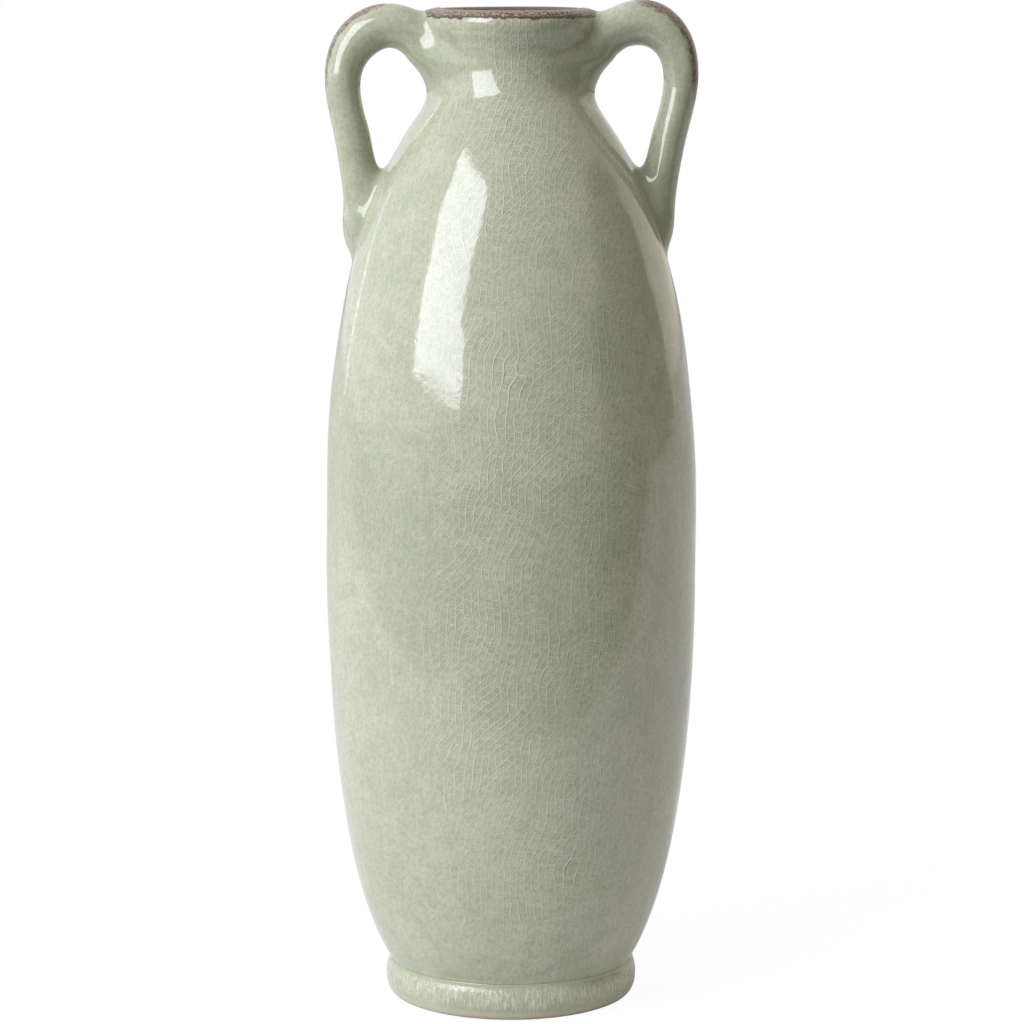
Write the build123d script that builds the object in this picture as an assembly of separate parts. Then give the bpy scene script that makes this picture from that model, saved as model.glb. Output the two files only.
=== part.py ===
"""A tall two-handled stoneware vase, in the pieces a potter makes and lutes together.

The axis of the vase is Z, the foot rests on z = 0 and the handles lie along X.
A swelling body seats in a beaded foot ring and carries a collar with a rolled lip.
A loop handle on each side runs from under the lip, over, and down on to the shoulder.
All sizes are in millimetres and degrees.
"""

import math
import os

from build123d import *

# Body outline: from the foot ring out to the belly, and in again to the collar
WALL = 4.8
BELLY_RADIUS = 75.9
BELLY_HEIGHT = 175.0
BELLY_SWELL_BELOW = 93.8
BELLY_SWELL_ABOVE = 60.7
SHOULDER_SWELL = 73.8
FLANK_SWELL = 19.0
FLANK_ANGLE = 34.8
FLOOR_THICKNESS = 8.0
FLOOR_COVE = 9.0

# Foot ring, with a ledge inside that the floor of the body sits on
FOOT_HEIGHT = 15.5
FOOT_TOP_RADIUS = 50.3
FOOT_BEAD = 1.9
FOOT_BEAD_HEIGHT = 8.0
FOOT_BEAD_TURN = 4.0
FOOT_EDGE = 1.2
FOOT_TUCK = 3.4
FOOT_WIDTH = 10.5
FOOT_LEDGE = 4.0
SEAT_DEPTH = 5.6
RECESS_ROUND = 2.0

# Collar, from the joint on the shoulder up to the rolled lip
RIM_HEIGHT = 407.9
NECK_RADIUS = 29.0
NECK_LAND = 3.6
FLARE_ANGLE = 36.0
FLARE_RADIUS = 24.0
CAVETTO_ANGLE = 31.5
CAVETTO_RADIUS = 16.3
LIP_SWELL_RADIUS = 12.2

# Handles: thickness is seen from the front, depth is front to back, and a drop is below the rim.
# ARCH_CROWN is how far along from the neck to the outer run the arch is highest.
HANDLE_INSET = 0.3
HANDLE_RISE = 2.75
HANDLE_THICKNESS = 14.6
HANDLE_DEPTH = 17.0
ARCH_THICKNESS = 18.3
ARCH_CROWN = 0.6
ARCH_SHOULDER = 4.6
ARCH_SHOULDER_DROP = 13.1
ARCH_SHOULDER_THICKNESS = 17.1
ROOT_THICKNESS = 17.0
ROOT_DEPTH = 20.0
ROOT_DROP = 8.9
ROOT_NECK_DROP = 13.7
ROOT_END_DROP = 18.5
OUTER_DROP = 25.9
LEG_THINNING = 0.8
WAIST_DROP = 49.0
WAIST_INSET = 3.4
ELBOW_DROP = 64.0
ELBOW_INSET = 6.2
TAIL_TOP_DROP = 80.4
TAIL_TOP_PROUD = 3.2
TAIL_DROP = 91.5
TAIL_SUNK = 0.2
TAIL_THICKNESS = 12.2
TAIL_DEPTH = 16.0
TAIL_TUCK = 5.2
TAIL_TIP = 9.2
TAIL_TIP_DROP = 99.9


def sin(degrees):
    return math.sin(math.radians(degrees))


def cos(degrees):
    return math.cos(math.radians(degrees))


# Foot ring and floor
FOOT_BORE = FOOT_TOP_RADIUS - FOOT_WIDTH
SEAT_RADIUS = FOOT_BORE + FOOT_LEDGE
SEAT_HEIGHT = FOOT_HEIGHT - SEAT_DEPTH
FLOOR_TOP = SEAT_HEIGHT + FLOOR_THICKNESS

# The collar's outline is a chain of tangent arcs, so its height and lip follow from them.
THROAT_RADIUS = NECK_RADIUS - WALL
LIP_OUT = (CAVETTO_RADIUS + LIP_SWELL_RADIUS) * (1 - cos(CAVETTO_ANGLE))
LIP_RADIUS = NECK_RADIUS + LIP_OUT
LIP_ROLL_RADIUS = (LIP_RADIUS - THROAT_RADIUS) / 2
LIP_RISE = (CAVETTO_RADIUS + LIP_SWELL_RADIUS) * sin(CAVETTO_ANGLE) + LIP_ROLL_RADIUS
WAIST_HEIGHT = RIM_HEIGHT - LIP_RISE - NECK_LAND
JOINT_RADIUS = NECK_RADIUS + FLARE_RADIUS * (1 - cos(FLARE_ANGLE))
JOINT_HEIGHT = WAIST_HEIGHT - FLARE_RADIUS * sin(FLARE_ANGLE)

UP = (0, 1)
DOWN = (0, -1)


def outline_curve(inset):
    """The two curves of the body's outline, moved in from the outer face by inset."""
    flank_in = Vector(-cos(FLANK_ANGLE), sin(FLANK_ANGLE)) * inset
    belly_in = Vector(-inset, 0)
    joint_in = Vector(-cos(FLARE_ANGLE), -sin(FLARE_ANGLE)) * inset
    foot = Vector(FOOT_TOP_RADIUS, FOOT_HEIGHT) + flank_in
    belly = Vector(BELLY_RADIUS, BELLY_HEIGHT) + belly_in
    joint = Vector(JOINT_RADIUS, JOINT_HEIGHT) + joint_in
    flank = foot + Vector(sin(FLANK_ANGLE), cos(FLANK_ANGLE)) * FLANK_SWELL
    shoulder = joint + Vector(sin(FLARE_ANGLE), -cos(FLARE_ANGLE)) * SHOULDER_SWELL
    lower = Bezier(foot, flank, belly - Vector(0, BELLY_SWELL_BELOW), belly)
    upper = Bezier(belly, belly + Vector(0, BELLY_SWELL_ABOVE), shoulder, joint)
    return lower, upper


def collar_curve():
    """The collar's outer face, from the joint up to where the lip starts to roll over."""
    lean = (-sin(FLARE_ANGLE), cos(FLARE_ANGLE))
    flare = JernArc((JOINT_RADIUS, JOINT_HEIGHT), lean, FLARE_RADIUS, -FLARE_ANGLE)
    land = Line(flare @ 1, flare @ 1 + Vector(0, NECK_LAND))
    cavetto = JernArc(land @ 1, UP, CAVETTO_RADIUS, -CAVETTO_ANGLE)
    swell = JernArc(cavetto @ 1, cavetto % 1, LIP_SWELL_RADIUS, CAVETTO_ANGLE)
    return flare, land, cavetto, swell


def turned(*edges):
    """A solid turned about the axis from a closed outline of radius and height."""
    return revolve(Plane.XZ * make_face(Curve() + list(edges)), Axis.Z)


def to_axis(start, end):
    """The three lines that close an outline from start to end along the axis."""
    return Polyline(start, (0, start.Y), (0, end.Y), end)


def body_blank():
    """The body as one solid lump, as far as its outer face."""
    lower, upper = outline_curve(0)
    return turned(lower, upper, to_axis(lower @ 0, upper @ 1))


def collar_blank():
    """The collar as one solid lump, as far as its outer face, flat across the lip."""
    curves = collar_curve()
    roll = ThreePointArc(curves[-1] @ 1, (LIP_RADIUS - LIP_ROLL_RADIUS, RIM_HEIGHT),
                         (THROAT_RADIUS, RIM_HEIGHT - LIP_ROLL_RADIUS))
    return turned(*curves, roll, to_axis(curves[0] @ 0, roll @ 1))


def body():
    """The hollow body, with a floor, a spigot that seats in the foot ring and a bevelled top."""
    lower, upper = outline_curve(0)
    spigot = Polyline((0, SEAT_HEIGHT), (SEAT_RADIUS, SEAT_HEIGHT), (SEAT_RADIUS, FOOT_HEIGHT),
                      lower @ 0)
    inner_lower, inner_upper = outline_curve(WALL)
    bevel = Line(upper @ 1, inner_upper @ 1)
    axis = Line((0, (inner_upper @ 1).Y), (0, SEAT_HEIGHT))
    mouth = Line(inner_upper @ 1, (0, (inner_upper @ 1).Y))
    lump = turned(lower, upper, bevel, mouth, axis, spigot)
    hollow = turned(inner_lower, inner_upper, to_axis(inner_lower @ 0, inner_upper @ 1))
    above_floor = Pos(0, 0, FLOOR_TOP) * Cylinder(
        BELLY_RADIUS, RIM_HEIGHT, align=(Align.CENTER, Align.CENTER, Align.MIN))
    hollow = hollow & above_floor
    floor_edge = hollow.edges().filter_by(GeomType.CIRCLE).sort_by(Axis.Z)[0]
    return lump - fillet(floor_edge, FLOOR_COVE)


def foot_ring():
    """The ring that the vase stands on, with a soft bead outside and a seat for the floor inside."""
    bead_radius = FOOT_TOP_RADIUS + FOOT_BEAD
    rest_radius = bead_radius - FOOT_TUCK
    edge = Bezier((rest_radius, 0), (bead_radius, FOOT_EDGE), (bead_radius, FOOT_BEAD_HEIGHT))
    bead = Bezier((bead_radius, FOOT_BEAD_HEIGHT), (bead_radius, FOOT_HEIGHT - FOOT_BEAD_TURN),
                  (FOOT_TOP_RADIUS, FOOT_HEIGHT))
    seat = Polyline(bead @ 1, (SEAT_RADIUS, FOOT_HEIGHT), (SEAT_RADIUS, SEAT_HEIGHT),
                    (FOOT_BORE, SEAT_HEIGHT), (FOOT_BORE, RECESS_ROUND))
    round_in = JernArc(seat @ 1, DOWN, RECESS_ROUND, 90)
    rest = Line(round_in @ 1, edge @ 0)
    return turned(edge, bead, seat, round_in, rest)


def neck_collar():
    """The collar, whose flare is luted to the body's bevel and whose lip rolls over to the throat."""
    flare, land, cavetto, swell = collar_curve()
    roll = JernArc(swell @ 1, UP, LIP_ROLL_RADIUS, 180)
    throat = Line(roll @ 1, (THROAT_RADIUS, WAIST_HEIGHT))
    flare_in = JernArc(throat @ 1, DOWN, FLARE_RADIUS + WALL, FLARE_ANGLE)
    lute = Line(flare_in @ 1, flare @ 0)
    return turned(flare, land, cavetto, swell, roll, throat, flare_in, lute)


def shoulder_radius(height):
    """The radius of the body's outer face at a height above the belly."""
    upper = outline_curve(0)[1]
    low, high = 0.0, 1.0
    while high - low > 1e-6:
        middle = (low + high) / 2
        if (upper @ middle).Y < height:
            low = middle
        else:
            high = middle
    return (upper @ low).X


def handle_stations():
    """Centre, thickness and depth of the handle along its run, from inside the neck to the tail."""
    outer = BELLY_RADIUS - HANDLE_INSET - HANDLE_THICKNESS / 2
    reach = (outer - NECK_RADIUS) * ARCH_CROWN
    crown = RIM_HEIGHT + HANDLE_RISE - ARCH_THICKNESS / 2
    root_depth = (ROOT_DEPTH + HANDLE_DEPTH) / 2
    leg = HANDLE_THICKNESS - LEG_THINNING
    tail_top = RIM_HEIGHT - TAIL_TOP_DROP
    tail = RIM_HEIGHT - TAIL_DROP
    tip = RIM_HEIGHT - TAIL_TIP_DROP
    return (
        ((THROAT_RADIUS - WALL, RIM_HEIGHT - ROOT_END_DROP), ROOT_THICKNESS, ROOT_DEPTH),
        ((NECK_RADIUS, RIM_HEIGHT - ROOT_NECK_DROP), ROOT_THICKNESS, ROOT_DEPTH),
        ((NECK_RADIUS + reach / 2, RIM_HEIGHT - ROOT_DROP), ROOT_THICKNESS, root_depth),
        ((NECK_RADIUS + reach, crown), ARCH_THICKNESS, HANDLE_DEPTH),
        ((outer - ARCH_SHOULDER, RIM_HEIGHT - ARCH_SHOULDER_DROP), ARCH_SHOULDER_THICKNESS,
         HANDLE_DEPTH),
        ((outer, RIM_HEIGHT - OUTER_DROP), HANDLE_THICKNESS, HANDLE_DEPTH),
        ((outer - WAIST_INSET, RIM_HEIGHT - WAIST_DROP), leg, HANDLE_DEPTH),
        ((outer - ELBOW_INSET, RIM_HEIGHT - ELBOW_DROP), leg, HANDLE_DEPTH),
        ((shoulder_radius(tail_top) + TAIL_TOP_PROUD, tail_top), HANDLE_THICKNESS, HANDLE_DEPTH),
        ((shoulder_radius(tail) - TAIL_SUNK, tail), TAIL_THICKNESS, TAIL_DEPTH),
        ((shoulder_radius(tip) - TAIL_TUCK, tip), TAIL_TIP, TAIL_DEPTH),
    )


def handle():
    """The handle on the +X side: an oval strap, coped to fit the collar and the shoulder."""
    stations = handle_stations()
    run = Spline(*[(x, 0, z) for (x, z), _, _ in stations])
    sections = []
    for (x, z), thickness, depth in stations:
        across = Plane((x, 0, z), x_dir=(0, 1, 0), z_dir=run.tangent_at(Vector(x, 0, z)))
        sections.append(across * Ellipse(depth / 2, thickness / 2))
    strap = loft(sections)
    coped = strap - body_blank() - collar_blank()
    return coped.solids().sort_by(SortBy.VOLUME)[-1]


right_handle = handle()
pieces = {
    "foot_ring": foot_ring(),
    "body_shell": body(),
    "neck_collar": neck_collar(),
    "right_handle": right_handle,
    "left_handle": mirror(right_handle, Plane.YZ),
}

os.makedirs("parts", exist_ok=True)
for name, piece in pieces.items():
    piece.label = name
    export_step(piece, f"parts/{name}.step")
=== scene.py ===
import math

import bpy
import numpy as np
from mathutils import Matrix, Vector


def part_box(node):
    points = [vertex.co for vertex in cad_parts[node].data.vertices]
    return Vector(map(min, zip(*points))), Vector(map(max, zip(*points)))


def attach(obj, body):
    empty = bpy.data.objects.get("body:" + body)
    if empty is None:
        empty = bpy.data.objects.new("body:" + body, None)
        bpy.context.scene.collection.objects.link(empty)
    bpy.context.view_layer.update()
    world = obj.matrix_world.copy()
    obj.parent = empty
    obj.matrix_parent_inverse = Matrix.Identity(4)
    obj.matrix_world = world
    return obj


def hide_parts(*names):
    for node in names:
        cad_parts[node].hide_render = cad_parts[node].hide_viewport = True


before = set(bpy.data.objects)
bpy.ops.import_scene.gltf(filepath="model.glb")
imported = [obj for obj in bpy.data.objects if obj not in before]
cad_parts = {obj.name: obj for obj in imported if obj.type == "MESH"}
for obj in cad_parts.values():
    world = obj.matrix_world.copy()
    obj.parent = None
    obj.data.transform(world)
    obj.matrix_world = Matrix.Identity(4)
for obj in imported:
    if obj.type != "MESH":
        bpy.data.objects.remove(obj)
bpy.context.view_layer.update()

# Lengths are millimetres until a mesh is made, angles are degrees, and outlines are (radius, height).
MM = 0.001

# ---------------------------------------------------------------- sizes, as in the CAD model
BELLY_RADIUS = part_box("body_shell")[1].x / MM
RIM_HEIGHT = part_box("neck_collar")[1].z / MM
LIP_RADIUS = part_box("neck_collar")[1].x / MM
SEAT_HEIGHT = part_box("body_shell")[0].z / MM
JOINT_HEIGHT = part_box("body_shell")[1].z / MM
FOOT_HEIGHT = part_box("foot_ring")[1].z / MM
BEAD_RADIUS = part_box("foot_ring")[1].x / MM

WALL = 4.8
BELLY_HEIGHT = 175.0
BELLY_SWELL_BELOW = 93.8
BELLY_SWELL_ABOVE = 60.7
SHOULDER_SWELL = 73.8
FLANK_SWELL = 19.0
FLANK_ANGLE = 34.8
FLOOR_THICKNESS = 8.0
FLOOR_COVE = 9.0

FOOT_BEAD = 1.9
FOOT_BEAD_HEIGHT = 8.0
FOOT_BEAD_TURN = 4.0
FOOT_EDGE = 1.2
FOOT_TUCK = 3.4
FOOT_WIDTH = 10.5
FOOT_LEDGE = 4.0
RECESS_ROUND = 2.0
FOOT_TOP_RADIUS = BEAD_RADIUS - FOOT_BEAD

FLARE_ANGLE = 36.0
FLARE_RADIUS = 24.0
NECK_LAND = 3.6
CAVETTO_ANGLE = 31.5
CAVETTO_RADIUS = 16.3
LIP_SWELL_RADIUS = 12.2
NECK_RADIUS = 29.0
THROAT_RADIUS = NECK_RADIUS - WALL

# ---------------------------------------------------------------- how the glaze softens the shape
GROOVE_FILL = 3.2          # how far glaze fills in from the corner above the foot bead
EDGE_ROUND = 1.0           # how far the foot's bottom edge is rounded
LUTE_BLENDS = (            # height, and the reach of the fillet where a handle meets the pot there
    (300.0, 2.5), (315.0, 3.5), (327.0, 7.6), (340.0, 8.7), (365.0, 21.0), (386.0, 28.0), (400.0, 6.3),
    (415.0, 8.0))
LUTE_SLIM = 0.45           # how much shorter the fillets reach towards the front and back
LUTE_SLIM_OVER = 16.0
LUTE_OUT = 15.0            # a handle meets the pot further out than this, within this far of the middle
LUTE_WITHIN = 36.0         # of its depth, and above this height
LUTE_ABOVE = 290.0
PROFILE_ABOVE = 250.0      # the pot's outline is measured from above this height

WOBBLE = 0.22              # how far the surface strays from true
WAVE_SEED = 7
WAVE_COUNT = 9
WAVE_LENGTH = 95.0
WAVE_LEAN = (1, 1, 0.6)    # waves run more round the pot than up it, and move it less upwards
WAVE_LIFT = (1, 1, 0.5)
CALM_BELOW = 30.0          # the wobble fades from this height down to none at the table

# ---------------------------------------------------------------- handles
ROOT_END_DROP = 18.5
ROOT_THICKNESS = 18.0
ROOT_DEPTH = 20.0
LEFT_TOUCHES = (           # out from the axis, drop below the rim, thickness and depth, from root to tail
    (39.3, 9.3, 17.1, 18.5), (50.7, 7.0, 18.0, 17.0), (63.1, 14.1, 17.6, 17.0), (67.8, 25.8, 15.1, 17.0),
    (64.9, 48.8, 13.9, 16.6), (62.3, 64.1, 14.1, 16.4), (60.6, 80.8, 14.7, 16.4), (61.7, 91.8, 12.1, 16.0),
    (58.9, 100.3, 9.3, 16.0))
RIGHT_TOUCHES = (
    (40.6, 8.8, 16.9, 18.5), (54.4, 5.8, 18.5, 17.0), (64.2, 12.1, 16.5, 17.0), (68.8, 26.0, 14.2, 17.0),
    (65.0, 49.2, 13.5, 16.6), (61.9, 64.2, 13.9, 16.4), (59.7, 80.0, 14.6, 16.4), (59.8, 91.3, 12.2, 16.0),
    (57.7, 99.4, 9.1, 16.0))

WEAR_RUNS = {              # the worn line: where it starts and ends along the handle, and how narrow it is
    "left_handle": (0.20, 0.56, 0.84), "right_handle": (0.20, 0.62, 0.55)}
WEAR_TURN = 0.3            # how far round to the front it lies, in radians
WEAR_STARTS_OVER = 0.08    # shares of the handle's length over which it starts and stops
WEAR_STOPS_OVER = 0.14
ARM_OVER = 4.0             # the crackle fades over this distance from the pot

FILLET_POOL = 0.8          # how much glaze pools in the fillets, beside the groove above the foot
GROOVE_POOL = 1.6          # how far up and down from the groove it pools
GROOVE_OUT = 46.0          # the groove's rows are further out than this

# ---------------------------------------------------------------- mesh density
TURN_FINE = 0.85           # degrees between columns near the handles, and away from them
TURN_COARSE = 2.4
HANDLE_SECTOR = 34.0       # half the angle that is finely divided about each handle
ROW_FINE = 0.8
ROW_COARSE = 2.6
ROW_FOOT = 0.55
ROW_LIP = 0.5
ROW_THROAT = 0.6
ROW_INSIDE = 4.0
FOOT_ROWS_TO = 22.0        # rows are as fine as the foot's up to here, and then widen over FOOT_ROWS_OVER
FOOT_ROWS_OVER = 40.0
FOOT_ROWS_START = 0.2
HANDLE_ROWS_FROM = 292.0   # rows are fine from here up, and widen over HANDLE_ROWS_OVER below it
HANDLE_ROWS_OVER = 30.0
LIP_ROWS_FROM = 400.0
HANDLE_COLUMNS = 76
HANDLE_ROWS = 190
HANDLE_PROBES = 420        # places tried along a handle to find where it enters the pot
CAP_TIP = (1.4, 0.55)      # the hidden rings in a handle's end: how deep in the wall, and how wide
CAP_RIM = (1.0, 0.95)
COVE_START = 0.8           # the cove inside begins this share of its size above the floor
COVE_DROP = (1.6, 5.5)     # how far in and down it leads before it turns
COVE_RUN = 3.5
PINHOLE = 0.5              # radius of the innermost ring of the floor
FLOOR_RING = 12.0
UNDER_RING = 20.0
SEAT_GAP = 0.2             # how far the hidden seat stands short of the foot's top

# ---------------------------------------------------------------- how closely points are placed
CURVE_SAMPLES = 90         # places tried along a handle's curve for the one nearest a point
CURVE_TURNS = 3
COAT_TURNS = 90
COAT_STEP = 0.45           # the furthest a point moves at once on its way to the glaze
COAT_WITHIN = 5e-4
SEAT_TURNS = 8
SEAT_WITHIN = 0.5          # points this near to the line where a handle meets the pot slide on to it
SEEN_FROM = -0.02          # a point this far inside a handle or less is seen
FILLET_WITHIN = 30.0       # and may lie in a fillet up to this far from it
BURY_TURNS = 4
TINY = 1e-6                # keeps a division from failing
LEAST = 1e-9


def sin(degrees):
    return math.sin(math.radians(degrees))


def cos(degrees):
    return math.cos(math.radians(degrees))


# ================================================================ outlines

def bezier(*points, steps=200):
    """Points along the Bezier curve with these control points."""
    t = np.linspace(0, 1, steps)[:, None]
    level = [np.array(p, float) for p in points]
    while len(level) > 1:
        level = [a * (1 - t) + b * t for a, b in zip(level, level[1:])]
    return level[0]


def arc(start, heading, radius, turn, steps=80):
    """Points along an arc from start, whose heading is turned through turn, anticlockwise if positive."""
    side = math.copysign(1, turn)
    centre = np.array(start) + side * radius * np.array([-sin(heading), cos(heading)])
    angles = np.radians(heading - side * 90 + np.linspace(0, turn, steps))
    return centre + radius * np.stack([np.cos(angles), np.sin(angles)], 1)


def join(*runs):
    """One run of points from several that meet end to end."""
    return np.concatenate([runs[0]] + [r[1:] if np.allclose(r[0], b[-1], atol=1e-6) else r
                                       for b, r in zip(runs, runs[1:])])


def lengths(points):
    """The distance along a run of points at each of them."""
    return np.concatenate([[0], np.cumsum(np.linalg.norm(np.diff(points, axis=0), axis=1))])


def resample(points, step):
    """The run again with points step apart, where step may be a function of radius and height."""
    along = lengths(points)
    steps = np.array([step(r, z) for r, z in points]) if callable(step) else np.full(len(points), step)
    count = np.concatenate([[0], np.cumsum(np.diff(along) * 2 / (steps[1:] + steps[:-1]))])
    wanted = np.linspace(0, count[-1], max(2, math.ceil(count[-1]) + 1))
    at = np.interp(wanted, count, along)
    return np.stack([np.interp(at, along, points[:, i]) for i in (0, 1)], 1)


def soften(before, after, reach):
    """Rounds the corner between two runs over reach each way, and splits them again at its middle."""
    first, second = lengths(before), lengths(after)
    keep_before = before[first < first[-1] - reach]
    keep_after = after[second > reach]
    curve = bezier(keep_before[-1], before[-1], keep_after[0], steps=21)
    return join(keep_before, curve[:11]), join(curve[10:], keep_after)


def outline(inset):
    """The body's outline from the foot ring to the joint with the collar, moved in by inset."""
    foot = np.array([FOOT_TOP_RADIUS - inset * cos(FLANK_ANGLE), FOOT_HEIGHT + inset * sin(FLANK_ANGLE)])
    belly = np.array([BELLY_RADIUS - inset, BELLY_HEIGHT])
    joint_radius = NECK_RADIUS + FLARE_RADIUS * (1 - cos(FLARE_ANGLE))
    joint = np.array([joint_radius - inset * cos(FLARE_ANGLE), JOINT_HEIGHT - inset * sin(FLARE_ANGLE)])
    lower = bezier(foot, foot + FLANK_SWELL * np.array([sin(FLANK_ANGLE), cos(FLANK_ANGLE)]),
                   belly - (0, BELLY_SWELL_BELOW), belly, steps=500)
    upper = bezier(belly, belly + (0, BELLY_SWELL_ABOVE),
                   joint + SHOULDER_SWELL * np.array([sin(FLARE_ANGLE), -cos(FLARE_ANGLE)]), joint,
                   steps=900)
    return join(lower, upper)


def foot_outline():
    """The foot ring's outer face, from the edge of its rest face up to the body."""
    rest_radius = BEAD_RADIUS - FOOT_TUCK
    edge = bezier((rest_radius, 0), (BEAD_RADIUS, FOOT_EDGE), (BEAD_RADIUS, FOOT_BEAD_HEIGHT))
    bead = bezier((BEAD_RADIUS, FOOT_BEAD_HEIGHT), (BEAD_RADIUS, FOOT_HEIGHT - FOOT_BEAD_TURN),
                  (FOOT_TOP_RADIUS, FOOT_HEIGHT))
    return join(edge, bead)


def collar_outline(start):
    """The collar's outer face, from the joint over the lip and down the throat to the waist."""
    flare = arc(start, 90 + FLARE_ANGLE, FLARE_RADIUS, -FLARE_ANGLE, steps=300)
    land = np.array([flare[-1], flare[-1] + (0, NECK_LAND)])
    cavetto = arc(land[-1], 90, CAVETTO_RADIUS, -CAVETTO_ANGLE, steps=200)
    swell = arc(cavetto[-1], 90 - CAVETTO_ANGLE, LIP_SWELL_RADIUS, CAVETTO_ANGLE, steps=150)
    roll = arc(swell[-1], 90, (swell[-1][0] - THROAT_RADIUS) / 2, 180, steps=200)
    throat = np.array([roll[-1], [THROAT_RADIUS, land[0][1]]])
    return join(flare, resample(land, 0.1), cavetto, swell, roll, resample(throat, 0.2))


body_outer = outline(0)
foot_outer, body_outer = soften(foot_outline(), body_outer, GROOVE_FILL)
collar_outer = collar_outline(body_outer[-1])


# ================================================================ distances to the pot and the handles

class Wall:
    """The pot's outer face as a signed distance: positive outside, with the direction out."""

    def __init__(self, points, step=0.3, skip=9):
        self.points = resample(points, step)
        self.skip = skip
        run = np.diff(self.points, axis=0)
        self.run = run
        self.span = (run ** 2).sum(1)
        normal = np.stack([run[:, 1], -run[:, 0]], 1) / np.sqrt(self.span)[:, None]
        ends = np.concatenate([normal[:1], normal[1:] + normal[:-1], normal[-1:]])
        self.normal = ends / np.linalg.norm(ends, axis=1)[:, None]

    def __call__(self, p):
        radius = np.hypot(p[:, 0], p[:, 1])
        q = np.stack([radius, p[:, 2]], 1)
        rough = ((q[:, None] - self.points[::self.skip]) ** 2).sum(2).argmin(1) * self.skip
        near = np.clip(rough[:, None] + np.arange(-self.skip, self.skip), 0, len(self.run) - 1)
        off = q[:, None] - self.points[near]
        t = np.clip((off * self.run[near]).sum(2) / self.span[near], 0, 1)
        off -= t[..., None] * self.run[near]
        best = (off ** 2).sum(2).argmin(1)
        rows = np.arange(len(q))
        t, off, near = t[rows, best][:, None], off[rows, best], near[rows, best]
        n = self.normal[near] * (1 - t) + self.normal[near + 1] * t
        n /= np.linalg.norm(n, axis=1)[:, None]
        out = np.stack([n[:, 0] * p[:, 0] / radius, n[:, 0] * p[:, 1] / radius, n[:, 1]], 1)
        return (off * n).sum(1), out


class Curve:
    """A natural cubic spline through rows of values, by distance along the first two columns."""

    def __init__(self, rows):
        rows = np.array(rows, float)
        self.knots = lengths(rows[:, :2])
        h = np.diff(self.knots)
        n = len(rows)
        system = np.zeros((n, n))
        system[0, 0] = system[-1, -1] = 1
        right = np.zeros((n, rows.shape[1]))
        slope = np.diff(rows, axis=0) / h[:, None]
        for i in range(1, n - 1):
            system[i, i - 1:i + 2] = h[i - 1], 2 * (h[i - 1] + h[i]), h[i]
            right[i] = 6 * (slope[i] - slope[i - 1])
        self.rows, self.bend, self.h = rows, np.linalg.solve(system, right), h

    def __call__(self, s):
        """Value, first and second derivative at each distance s."""
        s = np.clip(s, 0, self.knots[-1])
        i = np.clip(np.searchsorted(self.knots, s) - 1, 0, len(self.h) - 1)
        h = self.h[i][:, None]
        a = (self.knots[i + 1] - s)[:, None] / h
        b = 1 - a
        y0, y1, m0, m1 = self.rows[i], self.rows[i + 1], self.bend[i], self.bend[i + 1]
        value = a * y0 + b * y1 + ((a ** 3 - a) * m0 + (b ** 3 - b) * m1) * h * h / 6
        first = (y1 - y0) / h + ((3 * b * b - 1) * m1 - (3 * a * a - 1) * m0) * h / 6
        return value, first, a * m0 + b * m1


class Strap:
    """One handle: an oval swept along a curve in the XZ plane, on the side that side names."""

    def __init__(self, side, stations):
        self.side = side
        self.curve = Curve([(x, z, thickness / 2, depth / 2) for x, z, thickness, depth in stations])
        self.length = self.curve.knots[-1]
        self.samples = np.linspace(0, self.length, CURVE_SAMPLES)
        self.places = self.curve(self.samples)[0][:, :2]

    def frame(self, s):
        """Centre, direction away from the hole, and half thickness and depth, at each distance s."""
        value, first, _ = self.curve(s)
        heading = first[:, :2] / np.linalg.norm(first[:, :2], axis=1)[:, None]
        away = np.stack([-heading[:, 1], heading[:, 0]], 1)
        return value[:, :2], away, value[:, 2], value[:, 3]

    def point(self, s, angle):
        """The point on the strap at distance s and angle about it, from the side away from the hole."""
        centre, away, a, b = self.frame(s)
        flat = centre + away * (a * np.cos(angle))[:, None]
        return np.stack([self.side * flat[:, 0], b * np.sin(angle), flat[:, 1]], 1)

    def nearest(self, p):
        """The distance along the strap of the nearest point of its curve."""
        q = np.stack([self.side * p[:, 0], p[:, 2]], 1)
        s = self.samples[((q[:, None] - self.places) ** 2).sum(2).argmin(1)]
        for _ in range(CURVE_TURNS):
            value, first, second = self.curve(s)
            off = q - value[:, :2]
            slope = -(off * first[:, :2]).sum(1)
            bend = (first[:, :2] ** 2).sum(1) - (off * second[:, :2]).sum(1)
            s = np.clip(s - slope / np.where(bend > 0.2, bend, 1), 0, self.length)
        return s, q

    def __call__(self, p):
        """Signed distance, positive outside, and the direction out."""
        s, q = self.nearest(p)
        centre, away, a, b = self.frame(s)
        u = ((q - centre) * away).sum(1)
        v = p[:, 1]
        scaled = np.hypot(u / a, v / b)
        steep = np.hypot(u / a ** 2, v / b ** 2) + LEAST
        distance = scaled * (scaled - 1) / steep
        nu, nv = u / a ** 2 / steep, v / b ** 2 / steep
        out = np.stack([self.side * away[:, 0] * nu, nv, away[:, 1] * nu], 1)
        return distance, out


lip_top = int(collar_outer[:, 1].argmax())
wall = Wall(join(body_outer[body_outer[:, 1] > PROFILE_ABOVE], collar_outer[:lip_top + 1],
                 np.array([collar_outer[lip_top], [2.0, RIM_HEIGHT]])))


def handle_stations(side):
    """Centre, thickness and depth of each handle along its run, as its maker's hand left it."""
    touches = LEFT_TOUCHES if side < 0 else RIGHT_TOUCHES
    root = ((THROAT_RADIUS - WALL, RIM_HEIGHT - ROOT_END_DROP, ROOT_THICKNESS, ROOT_DEPTH),)
    return root + tuple((x, RIM_HEIGHT - drop, thickness, depth) for x, drop, thickness, depth in touches)


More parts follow.
